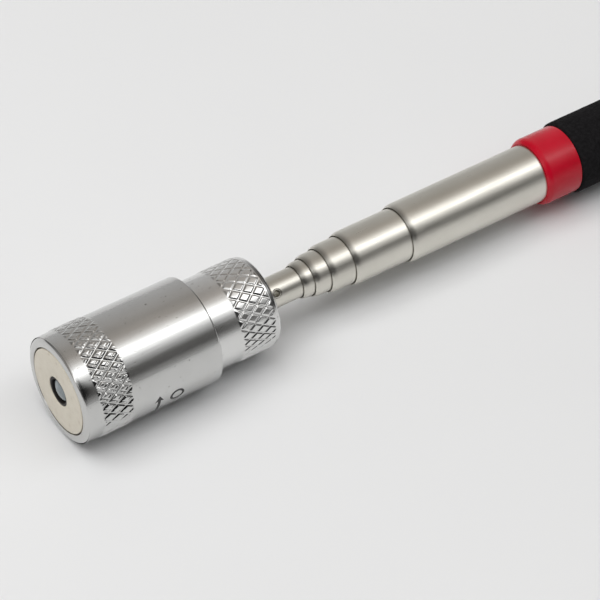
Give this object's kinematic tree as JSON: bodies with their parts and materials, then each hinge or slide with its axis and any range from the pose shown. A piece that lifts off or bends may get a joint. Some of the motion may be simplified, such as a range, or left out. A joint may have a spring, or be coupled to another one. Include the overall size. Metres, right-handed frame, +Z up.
{
  "type": "telescopic magnetic pick-up tool",
  "caption": "Telescopic pick-up tool: foam grip, nested steel tubes, and a knurled screw-on head with a ring magnet round a small lamp.",
  "frame": {"origin": "middle of the foam grip, on its axis", "axes": "+X along the tubes to the magnet's face, +Z up, +Y completes a right-handed frame"},
  "size_m": [0.2257, 0.0224, 0.0224],
  "materials": {
    "plated_metal": "polished",
    "tube_metal": "satin",
    "steel": "satin",
    "brass": "satin",
    "magnet_face": "matte",
    "clear_lens": "gloss",
    "black_plastic": "matte",
    "board": "satin",
    "sleeve_card": "matte",
    "cell_steel": "satin",
    "seal_rubber": "matte",
    "red_plastic": "gloss",
    "black_foam": "matte"
  },
  "bodies": {
    "handle": {"end_cap": "red_plastic", "foam_grip": "black_foam", "front_collar": "red_plastic", "tube_6": "tube_metal"},
    "bush_5": {"friction_bush_5": "brass"},
    "section_5": {"tube_5": "tube_metal"},
    "bush_4": {"friction_bush_4": "brass"},
    "section_4": {"tube_4": "tube_metal"},
    "bush_3": {"friction_bush_3": "brass"},
    "section_3": {"tube_3": "tube_metal"},
    "bush_2": {"friction_bush_2": "brass"},
    "section_2": {"tube_2": "tube_metal"},
    "bush_1": {"friction_bush_1": "brass"},
    "neck": {"tube_1": "tube_metal", "neck_stem": "steel", "stem_washer": "steel", "stem_nut": "steel", "cross_pin": "steel", "battery_body": "plated_metal", "battery_sleeve": "sleeve_card", "battery_spring": "steel", "seal_ring": "seal_rubber"},
    "cell_stack": {"button_cell_1": "cell_steel", "button_cell_2": "cell_steel", "button_cell_3": "cell_steel", "button_cell_4": "cell_steel"},
    "barrel": {"head_barrel": "plated_metal", "magnet_ring": "magnet_face", "pole_washer": "steel", "lamp_lining": "black_plastic", "led_lamp": "clear_lens", "led_leads": "steel", "lamp_board": "board", "contact_button": "brass", "contact_ring": "brass"}
  },
  "joints": [
    {"name": "tube_5_slide", "type": "slide", "parent": "handle", "child": "bush_5", "axis": [1, 0, 0], "range_m": [-0.008, 0.1175]},
    {"name": "tube_5_spin", "type": "hinge", "parent": "bush_5", "child": "section_5", "pos_m": [-0.0348, 0, 0], "axis": [1, 0, 0], "continuous": true},
    {"name": "tube_4_slide", "type": "slide", "parent": "section_5", "child": "bush_4", "axis": [1, 0, 0], "range_m": [0, 0.1221]},
    {"name": "tube_4_spin", "type": "hinge", "parent": "bush_4", "child": "section_4", "pos_m": [-0.0261, 0, 0], "axis": [1, 0, 0], "continuous": true},
    {"name": "tube_3_slide", "type": "slide", "parent": "section_4", "child": "bush_3", "axis": [1, 0, 0], "range_m": [0, 0.1188]},
    {"name": "tube_3_spin", "type": "hinge", "parent": "bush_3", "child": "section_3", "pos_m": [-0.0174, 0, 0], "axis": [1, 0, 0], "continuous": true},
    {"name": "tube_2_slide", "type": "slide", "parent": "section_3", "child": "bush_2", "axis": [1, 0, 0], "range_m": [0, 0.1136]},
    {"name": "tube_2_spin", "type": "hinge", "parent": "bush_2", "child": "section_2", "pos_m": [-0.0087, 0, 0], "axis": [1, 0, 0], "continuous": true},
    {"name": "tube_1_slide", "type": "slide", "parent": "section_2", "child": "bush_1", "axis": [1, 0, 0], "range_m": [-0.004, 0.1033]},
    {"name": "tube_1_spin", "type": "hinge", "parent": "bush_1", "child": "neck", "pos_m": [0.004, 0, 0], "axis": [1, 0, 0], "continuous": true},
    {"name": "head_advance", "type": "slide", "parent": "neck", "child": "cell_stack", "axis": [-1, 0, 0], "range_m": [-0.005, 0.00025], "deforming": ["battery_spring"]},
    {"name": "head_twist", "type": "hinge", "parent": "cell_stack", "child": "barrel", "pos_m": [0.1697, 0, 0], "axis": [-1, 0, 0], "range_deg": [-1800, 90]}
  ],
  "couplings": [
    {"joint": "head_twist", "follows": "head_advance", "rad_per_m": 6283.2}
  ]
}
